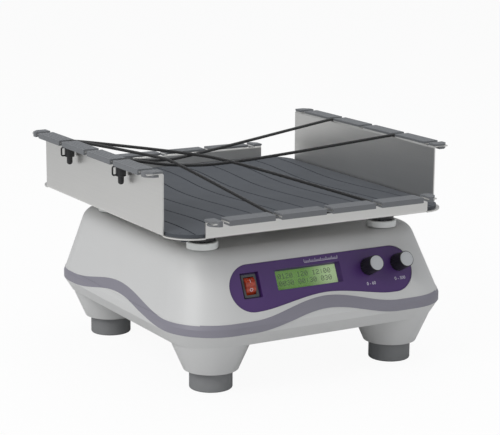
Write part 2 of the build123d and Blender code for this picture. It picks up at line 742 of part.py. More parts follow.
def make_tray_pan():
    """Folded stainless pan: floor with round corners, four walls with lips and cord notches."""
    half_side = TRAY_Y - TRAY_CORNER
    half_front = TRAY_X - TRAY_CORNER
    pan = extrude(rounded(TRAY_X - 2.5, TRAY_Y - 2.5, TRAY_CORNER - 2.5, TRAY_Z), SHEET)
    corners = extrude(rounded(TRAY_X, TRAY_Y, TRAY_CORNER, TRAY_Z), SHEET)
    corners -= block(2 * TRAY_X + 2, 2 * half_side, 10, z=TRAY_Z - 5)
    corners -= block(2 * half_front, 2 * TRAY_Y + 2, 10, z=TRAY_Z - 5)
    pan += corners
    tall = extrude(Plane.XZ * flange_profile(TRAY_X, HIGH_LIP_Z), half_side, both=True)
    short = extrude(Plane.YZ * flange_profile(TRAY_Y, LOW_LIP_Z), half_front, both=True)
    for y in notch_places(SIDE_PITCH):
        tall -= block(LIP + 6, NOTCH_W, 10, TRAY_X + LIP / 2 + 1.0, y, HIGH_LIP_Z - SHEET)
    for x in notch_places(FRONT_PITCH):
        short -= block(NOTCH_W, LIP + 6, 10, x, TRAY_Y + LIP / 2 + 1.0, LOW_LIP_Z - SHEET)
    pan += tall
    pan += mirror(tall, about=Plane.YZ)
    pan += short
    pan += mirror(short, about=Plane.XZ)
    for x, y in POST_SPOTS.values():
        for dx in (-10.5, 10.5):
            pan -= rod(2.0, TRAY_Z - 1, 5.0, x + dx, y)
    for i in range(4):
        a = math.radians(45 + 90 * i)
        pan -= rod(2.0, TRAY_Z - 1, 5.0, 27 * math.cos(a), 27 * math.sin(a))
    for sx in (-1, 1):
        for sy in (-1, 1):
            pan -= rod(2.4, TRAY_Z - 1, 5.0, sx * 131.0, sy * 139.0)
    return pan


def groove_line(x):
    """One wavy groove of the mat, running from front to back."""
    half = TRAY_Y - 5.0
    steps = 8
    points = []
    for i in range(steps + 1):
        y = -half + 2 * half * i / steps
        points.append((x - GROOVE_SWING * math.cos(2 * math.pi * (y - 10) / GROOVE_PERIOD), y))
    return trace(Spline(*points), line_width=GROOVE_W)


def make_mat():
    """Rubber mat with wavy grooves on its upper face."""
    low = TRAY_Z + SHEET
    inset = SHEET + MAT_GAP
    mat = extrude(rounded(TRAY_X - inset, TRAY_Y - inset, TRAY_CORNER - 1.0, low), MAT_T)
    for i in range(10):
        x = -2.0 + GROOVE_PITCH * (i - 4.5)
        groove = extrude(Pos(0, 0, low + MAT_T - GROOVE_DEEP) * groove_line(x), 3.0)
        mat -= groove
    for sx in (-1, 1):
        for sy in (-1, 1):
            mat -= rod(2.4, low - 1, 10.0, sx * 131.0, sy * 139.0)
            mat -= rod(4.6, low + MAT_T - 0.8, 5.0, sx * 131.0, sy * 139.0)
    return mat


def make_mat_rivets():
    """Plastic rivets at the tray's corners that hold the mat and show below the floor."""
    rivets = []
    for sx in (-1, 1):
        for sy in (-1, 1):
            low = TRAY_Z - 3.0
            rivet = rod(2.3, low, SHEET + MAT_T + 3.0 - 0.4)
            rivet += rod(4.4, TRAY_Z + SHEET + MAT_T - 0.8, 0.8)
            rivet += rod(3.2, low, 2.9)
            rivets.append(Pos(sx * 131.0, sy * 139.0, 0) * rivet)
    return rivets


def strip_section(lip_z, reach):
    """U-section of an edge strip round a lip, in (across, up), with fine ribs on its top."""
    top = lip_z + STRIP_LEG
    face = Pos(reach + STRIP_W / 2 - 0.1, top - STRIP_H / 2) * Rectangle(STRIP_W + 0.2, STRIP_H)
    face -= Pos(reach + LIP / 2 - 2, lip_z - SHEET / 2) * Rectangle(LIP + 4, SHEET)
    gap_low = top - STRIP_H - 1
    gap_high = lip_z - SHEET
    face -= Pos(reach + STRIP_LEG_START / 2 - 1, (gap_low + gap_high) / 2) * Rectangle(
        STRIP_LEG_START + 2, gap_high - gap_low)
    for i in range(4):
        face -= Pos(reach + 2.6 + 3.3 * i, top) * Rectangle(0.6, 0.5)
    return face


def strip_run(side, start, end):
    """One length of edge strip along the right or the rear wall."""
    if side == "right":
        section = strip_section(HIGH_LIP_Z, TRAY_X)
        solid = extrude(Plane.XZ * section, -(end - start))
        return Pos(0, start, 0) * solid
    section = strip_section(LOW_LIP_Z, TRAY_Y)
    solid = extrude(Plane.YZ * section, end - start)
    return Pos(start, 0, 0) * solid


def make_strips(side, flip):
    """The four strip segments of one wall, with gaps at the cord notches."""
    pitch = SIDE_PITCH if side == "right" else FRONT_PITCH
    segments = []
    for i in range(4):
        start = pitch * (i - 2) + NOTCH_W / 2
        run = strip_run(side, start, start + pitch - NOTCH_W)
        if flip:
            run = mirror(run, about=Plane.YZ if side == "right" else Plane.XZ)
        segments.append(run)
    return segments


def make_end_caps():
    """Eight end pieces of the edge strips, with their outer corners cut off."""
    caps = []
    half_side = TRAY_Y - TRAY_CORNER
    half_front = TRAY_X - TRAY_CORNER
    for side, pitch, half in (("right", SIDE_PITCH, half_side), ("rear", FRONT_PITCH, half_front)):
        end = half + 1.2
        cap = strip_run(side, 2 * pitch + NOTCH_W / 2, end)
        if side == "right":
            corner = Pos(TRAY_X + STRIP_W, end, HIGH_LIP_Z)
        else:
            corner = Pos(end, TRAY_Y + STRIP_W, LOW_LIP_Z)
        cap -= corner * (Rot(0, 0, 45) * Box(math.sqrt(2) * CAP_CHAMFER, 40, 20))
        for flip_x in (False, True):
            for flip_y in (False, True):
                piece = mirror(cap, about=Plane.YZ) if flip_x else cap
                caps.append(mirror(piece, about=Plane.XZ) if flip_y else piece)
    return caps


def make_tray_hub():
    """Central bearing housing under the tray."""
    hub = rod(34.0, TRAY_Z - 4.0, 4.0) + rod(18.0, 137.5, TRAY_Z - 137.5)
    hub -= rod(13.0, 136.0, 10.0)
    hub -= rod(7.0, 140.0, 9.0)
    for i in range(4):
        a = math.radians(45 + 90 * i)
        hub -= rod(2.0, TRAY_Z - 6, 10.0, 27 * math.cos(a), 27 * math.sin(a))
    return hub


def make_tray_hub_bearing():
    """Ball bearing on the drive pin."""
    return ring(13.0, DRIVE_PIN_R + FIT_GAP, 138.0, 8.0)


def make_post_hubs():
    """Black bearing hubs under the tray's corners."""
    hubs = []
    for x, y in POST_SPOTS.values():
        hub = rod(14.6, TRAY_Z - 3.6, 3.6) + rod(12.0, 139.0, TRAY_Z - 139.0)
        hub -= rod(9.5, 138.0, 7.4)
        hub -= rod(5.0, 139.0, 10.0)
        for dx in (-10.5, 10.5):
            hub -= rod(2.0, TRAY_Z - 6, 10.0, dx, 0)
        hubs.append(Pos(x, y, 0) * hub)
    return hubs


def make_post_bearings():
    """Ball bearings of the corner hubs."""
    return [ring(9.5, PIN_R + FIT_GAP, 139.4, 6.0, x, y) for x, y in POST_SPOTS.values()]


def make_hub_screws():
    """Countersunk screws from the tray's floor into its hubs."""
    screws = []
    for x, y in POST_SPOTS.values():
        for dx in (-10.5, 10.5):
            screws.append(rod(2.0, TRAY_Z - 3.6, 3.6 + SHEET, x + dx, y))
    for i in range(4):
        a = math.radians(45 + 90 * i)
        screws.append(rod(2.0, TRAY_Z - 4.0, 4.0 + SHEET, 27 * math.cos(a), 27 * math.sin(a)))
    return screws


# Cord routes: notches, crossing points and the turns under the lips, chosen by hand
HIGH_Z = HIGH_LIP_Z - SHEET + CORD_R + 0.15
LOW_Z = LOW_LIP_Z - SHEET + CORD_R + 0.15
UNDER_HIGH = HIGH_LIP_Z - 4.1
UNDER_LOW = LOW_LIP_Z - 4.1
BARREL_X = -(TRAY_X + 6.0)
BARREL_TOP = HIGH_LIP_Z + STRIP_LEG - STRIP_H - 0.05
TWIN = 1.7
OUT = 2.4

REAR_CORD = [
    (BARREL_X, SIDE_PITCH + TWIN, BARREL_TOP), (BARREL_X, SIDE_PITCH + TWIN, HIGH_Z + 0.3),
    (-TRAY_X + 3.0, SIDE_PITCH + TWIN, HIGH_Z), (-67.9, -26.0, 202.1), (-39.4, -56.0, 197.5),
    (53.0, -TRAY_Y + 2.0, LOW_Z), (53.0, -TRAY_Y - OUT, LOW_Z), (53.0, -TRAY_Y - OUT, UNDER_LOW),
    (-53.0, -TRAY_Y - OUT, UNDER_LOW), (-53.0, -TRAY_Y - OUT, LOW_Z), (-53.0, -TRAY_Y + 2.0, LOW_Z),
    (-96.2, -56.0, 200.4), (-103.4, -39.7, 203.2), (-TRAY_X + 3.0, SIDE_PITCH - TWIN, HIGH_Z),
    (BARREL_X, SIDE_PITCH - TWIN, HIGH_Z + 0.3), (BARREL_X, SIDE_PITCH - TWIN, BARREL_TOP),
]
FRONT_CORD = [
    (BARREL_X, -SIDE_PITCH - TWIN, BARREL_TOP), (BARREL_X, -SIDE_PITCH - TWIN, HIGH_Z + 0.3),
    (-TRAY_X + 3.0, -SIDE_PITCH - TWIN, HIGH_Z), (-96.2, -56.0, 197.0), (-39.4, -56.0, 194.1),
    (TRAY_X - 2.0, -SIDE_PITCH, HIGH_Z), (TRAY_X + OUT, -SIDE_PITCH, HIGH_Z),
    (TRAY_X + OUT, -SIDE_PITCH, UNDER_HIGH), (TRAY_X + OUT, SIDE_PITCH, UNDER_HIGH),
    (TRAY_X + OUT, SIDE_PITCH, HIGH_Z), (TRAY_X - 2.0, SIDE_PITCH, HIGH_Z),
    (-67.9, -26.0, 198.7), (-103.4, -39.7, 199.8), (-TRAY_X + 3.0, -SIDE_PITCH + TWIN, HIGH_Z),
    (BARREL_X, -SIDE_PITCH + TWIN, HIGH_Z + 0.3), (BARREL_X, -SIDE_PITCH + TWIN, BARREL_TOP),
]
CROSSING_RADIUS = 8.0


def corner_radii(points):
    """Radius at each inner point: small where cords cross, else as large as the shorter run allows."""
    radii = []
    for i in range(1, len(points) - 1):
        a = Vector(*points[i]) - Vector(*points[i - 1])
        b = Vector(*points[i + 1]) - Vector(*points[i])
        turn = math.radians(a.get_angle(b))
        radius = 0.45 * min(a.length, b.length) / math.tan(turn / 2)
        over_tray = abs(points[i][0]) < TRAY_X - 10 and abs(points[i][1]) < TRAY_Y - 10
        radii.append(min(radius, CROSSING_RADIUS) if over_tray else radius)
    return radii


def make_cord(name, points):
    """Elastic cord as a tube along straight runs and tangent arcs."""
    radii = corner_radii(points)
    path = FilletPolyline(*points, radius=radii)
    section = Plane(origin=path @ 0, z_dir=path % 0) * Circle(CORD_R)
    tube = sweep(section, path=path)
    print(name, "radii", [round(r, 1) for r in radii])
    print(name, "length", round(path.length, 1), "volume", round(tube.volume, 1),
          "section x length", round(math.pi * CORD_R ** 2 * path.length, 1))
    return tube


def make_lock_barrel(y):
    """Barrel of a cord lock, hanging under the lip, with a thin side loop."""
    low = BARREL_TOP - 10.6
    barrel = rod(4.75, low, 10.6, BARREL_X, y)
    barrel = fillet(barrel.edges().group_by(Axis.Z)[0], 0.8)
    barrel -= rod(2.75 + 0.15, low - 1, 7.6, BARREL_X, y)
    loop_path = FilletPolyline((BARREL_X - 4.0, y, low + 1.4), (BARREL_X - 8.4, y, low + 1.4),
                               (BARREL_X - 8.4, y, low + 9.4), (BARREL_X - 4.0, y, low + 9.4), radius=1.6)
    section = Plane(origin=loop_path @ 0, z_dir=loop_path % 0) * Circle(0.8)
    barrel += sweep(section, path=loop_path)
    return barrel


def make_lock_plunger(y):
    """Push button of a cord lock, sticking out of the barrel's lower end."""
    low = BARREL_TOP - 10.6 - 7.6
    plunger = rod(2.75, low, 7.6 + 3.0, BARREL_X, y)
    return fillet(plunger.edges().group_by(Axis.Z)[0], 2.4)


def make_lock_spring(y):
    """Spring of a cord lock, drawn as a thin sleeve above the plunger."""
    low = BARREL_TOP - 10.6 + 3.1
    return ring(2.3, 1.7, low, 3.3, BARREL_X, y)


def write(name, shape):
    """Writes one node, made of one solid or of several separate ones."""
    if isinstance(shape, list):
        solids = [s for piece in shape for s in piece.solids()]
    else:
        solids = list(shape.solids())
    body = solids[0] if len(solids) == 1 else Compound(children=solids)
    export_step(body, "parts/" + name + ".step")


def main():
    """Builds every node of the shaker."""
    write("upper_housing", make_upper_housing())
    write("trim_band", make_trim_band())
    write("lower_housing", make_lower_housing())
    write("rubber_feet", make_feet())
    write("foot_screws", make_foot_screws())
    write("support_pillars", make_pillars())
    write("bearing_plate", make_bearing_plate())
    write("drive_bearing_housing", make_drive_bearing_housing())
    write("idler_housings", make_idler_housings())
    write("base_bearings", make_drive_bearings() + make_idler_bearings())
    for place, spot in POST_SPOTS.items():
        write("idler_cup_" + place, make_idler_cup(spot))
        write("idler_pins_" + place, make_idler_pins(spot))
    write("drive_shaft", make_drive_shaft())
    write("drive_pulley", make_drive_pulley())
    write("counterweight", make_counterweight())
    write("motor", make_motor())
    write("motor_pulley", make_motor_pulley())
    write("motor_shaft", make_motor_shaft())
    write("drive_belt", make_belt())
    write("power_supply", make_power_supply())
    write("control_board", make_control_board())
    write("mains_inlet", make_inlet())
    write("small_screws", make_motor_screws() + make_inlet_screws())
    write("housing_screws", make_housing_screws())
    write("control_panel", make_control_panel())
    write("lcd_window", make_lcd_window())
    write("lcd_module", make_lcd_module())
    write("switch_frame", make_switch_frame())
    write("rocker_button", make_rocker())
    write("potentiometers", make_pots())
    for side, u in zip(("left", "right"), KNOB_US):
        write("pot_shaft_" + side, make_pot_shaft(u))
        write("knob_" + side, make_knob(u))
        write("knob_cap_" + side, make_knob_cap(u))
    write("tray_pan", make_tray_pan())
    write("rubber_mat", make_mat())
    write("mat_rivets", make_mat_rivets())
    write("side_strips", make_strips("right", False) + make_strips("right", True))
    write("end_strips", make_strips("rear", False) + make_strips("rear", True))
    write("strip_end_caps", make_end_caps())
    write("tray_hub", make_tray_hub())
    write("corner_hubs", make_post_hubs())
    write("tray_bearings", [make_tray_hub_bearing()] + make_post_bearings())
    write("hub_screws", make_hub_screws())
    write("rear_cord", make_cord("rear_cord", REAR_CORD))
    write("front_cord", make_cord("front_cord", FRONT_CORD))
    for place, y in (("rear", SIDE_PITCH), ("front", -SIDE_PITCH)):
        write("cord_lock_" + place, make_lock_barrel(y))
        write("lock_plunger_" + place, make_lock_plunger(y))
        write("lock_spring_" + place, make_lock_spring(y))


if __name__ == "__main__":
    main()
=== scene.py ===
"""Looks of a bench orbital shaker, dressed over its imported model.

Finishes for every solid, the two hold-down cords, the display's numbers, the panel's marks and the studio.
"""

import logging
import math
from dataclasses import dataclass, field
from enum import Enum
from typing import Sequence

import bpy
from mathutils import Matrix, Vector


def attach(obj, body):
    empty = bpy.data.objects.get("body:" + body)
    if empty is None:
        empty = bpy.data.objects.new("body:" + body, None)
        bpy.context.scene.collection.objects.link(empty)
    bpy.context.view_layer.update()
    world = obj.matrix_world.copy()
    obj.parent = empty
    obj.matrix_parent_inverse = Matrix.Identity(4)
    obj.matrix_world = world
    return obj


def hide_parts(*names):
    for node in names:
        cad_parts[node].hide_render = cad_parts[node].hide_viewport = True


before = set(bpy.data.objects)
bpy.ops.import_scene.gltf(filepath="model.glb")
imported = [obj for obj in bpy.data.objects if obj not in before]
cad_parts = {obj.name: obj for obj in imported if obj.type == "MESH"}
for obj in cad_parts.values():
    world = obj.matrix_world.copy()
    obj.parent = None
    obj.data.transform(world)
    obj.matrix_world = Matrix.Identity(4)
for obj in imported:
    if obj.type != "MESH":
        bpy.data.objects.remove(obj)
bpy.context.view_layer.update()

LOG = logging.getLogger("shaker")
MM = 0.001

# Places shared with the solids, in millimetres
ORBIT_RADIUS = 11.0
ORBIT_ANGLE = math.radians(155.0)
BASE_CENTRE = (-ORBIT_RADIUS * math.cos(ORBIT_ANGLE), -ORBIT_RADIUS * math.sin(ORBIT_ANGLE))
PANEL_LEAN = math.atan(30.0 / 65.0)
PANEL_FOOT_Y = -151.0
PANEL_FOOT_Z = 66.0
PANEL_FACE = 1.2
DISPLAY_CENTRE = (-11.8, 38.4)
DISPLAY_SIZE = (64.5, 16.4)
SWITCH_CENTRE = (-73.5, 36.9)

# The band's run on the side walls, in millimetres, and the colours on its two sides
BAND_LEVELS = (59.5, 69.5)
SIDE_WAVE_FROM = 128.0
SIDE_WAVE_MIDDLE = -5.0
SIDE_WAVE_HALF = 98.0
SIDE_WAVE_RISE = 12.5
HOUSING_GREY = (204, 204, 203)
BAND_GREY = (134, 132, 142)


class Pattern(Enum):
    """How a finish's grain runs: even as moulded, brushed across the piece, or drawn along it."""

    EVEN = "even"
    BRUSHED = "brushed"
    LENGTHWAYS = "lengthways"


def srgb(red: float, green: float, blue: float) -> tuple[float, float, float, float]:
    """Turns a colour of 0 to 255 steps into linear light.

    Args:
        red, green, blue: the colour as it looks on a screen.

    Returns:
        The linear colour with a full alpha.
    """
    parts = []
    for value in (red, green, blue):
        share = value / 255.0
        parts.append(share / 12.92 if share <= 0.04045 else ((share + 0.055) / 1.055) ** 2.4)
    return (parts[0], parts[1], parts[2], 1.0)


def clear_selection() -> None:
    """Leaves nothing selected, because operators act on all that is."""
    bpy.ops.object.select_all(action="DESELECT")


def matrix_of(across: Vector, up: Vector, out: Vector, place: Vector) -> Matrix:
    """Puts three directions and a place into one matrix.

    Args:
        across, up, out: where the x, y and z of a piece point.
        place: where its origin goes, in metres.

    Returns:
        The matrix.
    """
    columns = (across, up, out, place)
    return Matrix([[column[row] for column in columns] for row in range(3)] + [[0, 0, 0, 1]])


def settle(piece: bpy.types.Object, place: Matrix) -> None:
    """Moves a selected piece to its place and puts that place into its mesh.

    Args:
        piece: the piece, drawn at the origin.
        place: where it goes.
    """
    piece.matrix_world = place
    bpy.ops.object.transform_apply(location=True, rotation=True, scale=True)


def panel_matrix(u: float, v: float, depth: float) -> Matrix:
    """Place on the sloping panel.

    Args:
        u: millimetres to the right of the base's middle.
        v: millimetres up the slope.
        depth: millimetres into the housing from the front face.

    Returns:
        The matrix whose x runs right, y up the slope and z out of the face.
    """
    sin, cos = math.sin(PANEL_LEAN), math.cos(PANEL_LEAN)
    place = Vector((BASE_CENTRE[0] + u, BASE_CENTRE[1] + PANEL_FOOT_Y + v * sin + depth * cos,
                    PANEL_FOOT_Z + v * cos - depth * sin)) * MM
    return matrix_of(Vector((1, 0, 0)), Vector((0, sin, cos)), Vector((0, -cos, sin)), place)


class NodeDesk:
    """A material's node tree, with short calls for what the finishes need."""

    def __init__(self, tree: bpy.types.NodeTree) -> None:
        """Starts from an empty tree.

        Args:
            tree: the tree to fill.
        """
        self.tree = tree
        self.tree.nodes.clear()

    def add(self, kind: str, **values: object) -> bpy.types.Node:
        """Adds a node and sets its properties.

        Args:
            kind: the node's type.
            values: properties of the node by name.

        Returns:
            The new node.
        """
        node = self.tree.nodes.new(kind)
        for name, value in values.items():
            setattr(node, name, value)
        return node

    def wire(self, source: bpy.types.NodeSocket, target: bpy.types.NodeSocket) -> None:
        """Joins an output to an input."""
        self.tree.links.new(source, target)

    def noise(self, vector: bpy.types.NodeSocket, scale: float, detail: float) -> bpy.types.NodeSocket:
        """Adds a noise texture.

        Args:
            vector: where the noise is read.
            scale: repeats per metre.
            detail: octaves.

        Returns:
            The noise value.
        """
        node = self.add("ShaderNodeTexNoise")
        node.inputs["Scale"].default_value = scale
        node.inputs["Detail"].default_value = detail
        self.wire(vector, node.inputs["Vector"])
        return node.outputs["Fac"]

    def spread(self, value: bpy.types.NodeSocket, low: float, high: float) -> bpy.types.NodeSocket:
        """Maps a value of 0 to 1 onto a range.

        Args:
            value: what is mapped.
            low: the result at 0.
            high: the result at 1.

        Returns:
            The mapped value.
        """
        node = self.add("ShaderNodeMapRange")
        node.inputs["To Min"].default_value = low
        node.inputs["To Max"].default_value = high
        self.wire(value, node.inputs["Value"])
        return node.outputs["Result"]

    def calc(self, job: str, first: object, second: object) -> bpy.types.NodeSocket:
        """Adds a maths node.

        Args:
            job: the operation's name.
            first, second: sockets or numbers.

        Returns:
            The result.
        """
        node = self.add("ShaderNodeMath", operation=job)
        for slot, value in enumerate((first, second)):
            if isinstance(value, bpy.types.NodeSocket):
                self.wire(value, node.inputs[slot])
            else:
                node.inputs[slot].default_value = value
        return node.outputs[0]

    def blend(self, share: object, first: object, second: object, mode: str = "MIX") -> bpy.types.NodeSocket:
        """Mixes two colours.

        Args:
            share: socket or number, how much of the second shows.
            first, second: sockets or colours.
            mode: the way they mix.

        Returns:
            The mixed colour.
        """
        node = self.add("ShaderNodeMix", data_type="RGBA", blend_type=mode)
        for slot, value in ((0, share), (6, first), (7, second)):
            if isinstance(value, bpy.types.NodeSocket):
                self.wire(value, node.inputs[slot])
            else:
                node.inputs[slot].default_value = value
        return node.outputs[2]


def start_material(name: str) -> tuple[bpy.types.Material, NodeDesk, bpy.types.Node]:
    """Starts a material with its shader wired to the output.

    Args:
        name: the material's name.

    Returns:
        The material, its desk and its shader.
    """
    material = bpy.data.materials.new(name)
    material.use_nodes = True
    desk = NodeDesk(material.node_tree)
    shader = desk.add("ShaderNodeBsdfPrincipled")
    out = desk.add("ShaderNodeOutputMaterial")
    desk.wire(shader.outputs["BSDF"], out.inputs["Surface"])
    return material, desk, shader


class EffectGroups:
    """The shader node groups that several finishes share, each built once."""

    def __init__(self) -> None:
        """Builds the groups."""
        self.tone = self._make_tone()
        self.grain = self._make_grain()
        self.streaks = self._make_streaks()
        self.side_wave = self._make_side_wave()

    @staticmethod
    def _open(name: str, inputs: Sequence[tuple[str, str, object]],
              outputs: Sequence[tuple[str, str]]) -> tuple[NodeDesk, bpy.types.Node, bpy.types.Node]:
        """Starts a group.

        Args:
            name: the group's name.
            inputs: name, socket type and default of each input.
            outputs: name and socket type of each output.

        Returns:
            The desk, and the group's input and output nodes.
        """
        group = bpy.data.node_groups.new(name, "ShaderNodeTree")
        for label, kind, default in inputs:
            socket = group.interface.new_socket(label, in_out="INPUT", socket_type=kind)
            if default is not None:
                socket.default_value = default
        for label, kind in outputs:
            group.interface.new_socket(label, in_out="OUTPUT", socket_type=kind)
        desk = NodeDesk(group)
        return desk, desk.add("NodeGroupInput"), desk.add("NodeGroupOutput")

    def _make_tone(self) -> bpy.types.NodeTree:
        """Slow drift of a colour, with fine specks."""
        desk, given, result = self._open(
            "tone_drift",
            [("Color", "NodeSocketColor", (0.5, 0.5, 0.5, 1.0)), ("Drift", "NodeSocketFloat", 0.1),
             ("Specks", "NodeSocketFloat", 0.05)],
            [("Color", "NodeSocketColor")])
        place = desk.add("ShaderNodeTexCoord").outputs["Object"]
        cloud = desk.spread(desk.noise(place, 14.0, 3.0), -1.0, 1.0)
        speck = desk.spread(desk.noise(place, 2600.0, 2.0), -1.0, 1.0)
        shift = desk.calc("ADD", desk.calc("MULTIPLY", cloud, given.outputs["Drift"]),
                          desk.calc("MULTIPLY", speck, given.outputs["Specks"]))
        level = desk.calc("ADD", shift, 1.0)
        scaled = desk.add("ShaderNodeVectorMath", operation="SCALE")
        desk.wire(given.outputs["Color"], scaled.inputs[0])
        desk.wire(level, scaled.inputs["Scale"])
        desk.wire(scaled.outputs[0], result.inputs["Color"])
        return desk.tree

    def _make_grain(self) -> bpy.types.NodeTree:
        """Fine moulded texture with a little unevenness of the gloss."""
        desk, given, result = self._open(
            "moulded_grain",
            [("Scale", "NodeSocketFloat", 1500.0), ("Gloss", "NodeSocketFloat", 0.5),
             ("Uneven", "NodeSocketFloat", 0.08)],
            [("Height", "NodeSocketFloat"), ("Roughness", "NodeSocketFloat")])
        place = desk.add("ShaderNodeTexCoord").outputs["Object"]
        fine = desk.add("ShaderNodeTexNoise")
        fine.inputs["Detail"].default_value = 3.0
        desk.wire(place, fine.inputs["Vector"])
        desk.wire(given.outputs["Scale"], fine.inputs["Scale"])
        cloud = desk.spread(desk.noise(place, 40.0, 4.0), -1.0, 1.0)
        desk.wire(fine.outputs["Fac"], result.inputs["Height"])
        rough = desk.calc("ADD", given.outputs["Gloss"], desk.calc("MULTIPLY", cloud, given.outputs["Uneven"]))
        desk.wire(rough, result.inputs["Roughness"])
        return desk.tree

    def _make_side_wave(self) -> bpy.types.NodeTree:
        """Where the band runs on the two side walls, rising over the middle of each."""
        desk, _, result = self._open("side_wave", [],
                                     [("Mask", "NodeSocketFloat"), ("Side", "NodeSocketFloat")])
        parts = desk.add("ShaderNodeSeparateXYZ")
        desk.wire(desk.add("ShaderNodeTexCoord").outputs["Object"], parts.inputs[0])
        from_middle = desk.calc("ABSOLUTE", desk.calc("SUBTRACT", parts.outputs[0], BASE_CENTRE[0] * MM), 0.0)
        side = desk.calc("GREATER_THAN", from_middle, SIDE_WAVE_FROM * MM)
        middle = (BASE_CENTRE[1] + SIDE_WAVE_MIDDLE) * MM
        away = desk.calc("ABSOLUTE", desk.calc("SUBTRACT", parts.outputs[1], middle), 0.0)
        half = SIDE_WAVE_HALF * MM
        turn = desk.calc("MULTIPLY", desk.calc("MINIMUM", away, half), math.pi / half)
        hump = desk.calc("ADD", desk.calc("COSINE", turn, 0.0), 1.0)
        rise = desk.calc("MULTIPLY", hump, SIDE_WAVE_RISE / 2 * MM)
        level = desk.calc("SUBTRACT", parts.outputs[2], rise)
        above = desk.calc("GREATER_THAN", level, BAND_LEVELS[0] * MM)
        below = desk.calc("LESS_THAN", level, BAND_LEVELS[1] * MM)
        desk.wire(desk.calc("MULTIPLY", side, desk.calc("MULTIPLY", above, below)), result.inputs["Mask"])
        desk.wire(side, result.inputs["Side"])
        return desk.tree

    def _make_streaks(self) -> bpy.types.NodeTree:
        """Long fine streaks, as brushing or extruding leaves them."""
        desk, given, result = self._open(
            "long_streaks", [("Vector", "NodeSocketVector", None), ("Gloss", "NodeSocketFloat", 0.3),
                             ("Uneven", "NodeSocketFloat", 0.1)],
            [("Height", "NodeSocketFloat"), ("Roughness", "NodeSocketFloat"), ("Tone", "NodeSocketFloat")])
        fine = desk.noise(given.outputs["Vector"], 1.0, 4.0)
        broad = desk.spread(desk.noise(given.outputs["Vector"], 0.12, 2.0), -1.0, 1.0)
        desk.wire(fine, result.inputs["Height"])
        rough = desk.calc("ADD", given.outputs["Gloss"], desk.calc("MULTIPLY", broad, given.outputs["Uneven"]))
        desk.wire(rough, result.inputs["Roughness"])
        desk.wire(desk.spread(fine, 0.93, 1.05), result.inputs["Tone"])
        return desk.tree


@dataclass(frozen=True)
class Finish:
    """One solid finish: plastic, rubber, steel or paint, with its grain and unevenness."""

    name: str
    colour: tuple[float, float, float]
    roughness: float = 0.5
    metallic: float = 0.0
    grain_scale: float = 1500.0
    grain_depth: float = 0.00002
    drift: float = 0.03
    specks: float = 0.02
    uneven: float = 0.06
    coat: float = 0.0
    pattern: Pattern = Pattern.EVEN
    stretch: tuple[float, float, float] = (12.0, 12.0, 5200.0)
    wave_colour: tuple[float, float, float] | None = None
    on_wave: bool = False

    def _group(self, desk: NodeDesk, tree: bpy.types.NodeTree, **values: object) -> bpy.types.Node:
        """Places a shared group with its own values.

        Args:
            desk: the material's desk.
            tree: the group.
            values: numbers by input name.

        Returns:
            The group's node.
        """
        node = desk.add("ShaderNodeGroup", node_tree=tree)
        for label, value in values.items():
            node.inputs[label].default_value = value
        return node

    def build(self, groups: EffectGroups) -> bpy.types.Material:
        """Makes the material.

        Args:
            groups: the shared effects.

        Returns:
            The finished material.
        """
        material, desk, shader = start_material(self.name)
        tone = self._group(desk, groups.tone, Color=srgb(*self.colour), Drift=self.drift, Specks=self.specks)
        colour = tone.outputs["Color"]
        if self.pattern is Pattern.EVEN:
            grain = self._group(desk, groups.grain, Scale=self.grain_scale, Gloss=self.roughness,
                                Uneven=self.uneven)
        else:
            grain = self._group(desk, groups.streaks, Gloss=self.roughness, Uneven=self.uneven)
            place = desk.add("ShaderNodeTexCoord")
            mapping = desk.add("ShaderNodeMapping")
            mapping.inputs["Scale"].default_value = self.stretch
            desk.wire(place.outputs["Object"], mapping.inputs["Vector"])
            desk.wire(mapping.outputs["Vector"], grain.inputs["Vector"])
            colour = desk.blend(1.0, colour, grain.outputs["Tone"], "MULTIPLY")
        if self.wave_colour is not None:
            wave = desk.add("ShaderNodeGroup", node_tree=groups.side_wave)
            share = wave.outputs["Mask"]
            if self.on_wave:
                share = desk.calc("MULTIPLY", desk.calc("SUBTRACT", 1.0, share), wave.outputs["Side"])
            colour = desk.blend(share, colour, srgb(*self.wave_colour))
        bump = desk.add("ShaderNodeBump")
        bump.inputs["Distance"].default_value = self.grain_depth
        desk.wire(grain.outputs["Height"], bump.inputs["Height"])
        desk.wire(bump.outputs["Normal"], shader.inputs["Normal"])
        desk.wire(grain.outputs["Roughness"], shader.inputs["Roughness"])
        desk.wire(colour, shader.inputs["Base Color"])
        shader.inputs["Metallic"].default_value = self.metallic
        shader.inputs["Coat Weight"].default_value = self.coat
        return material


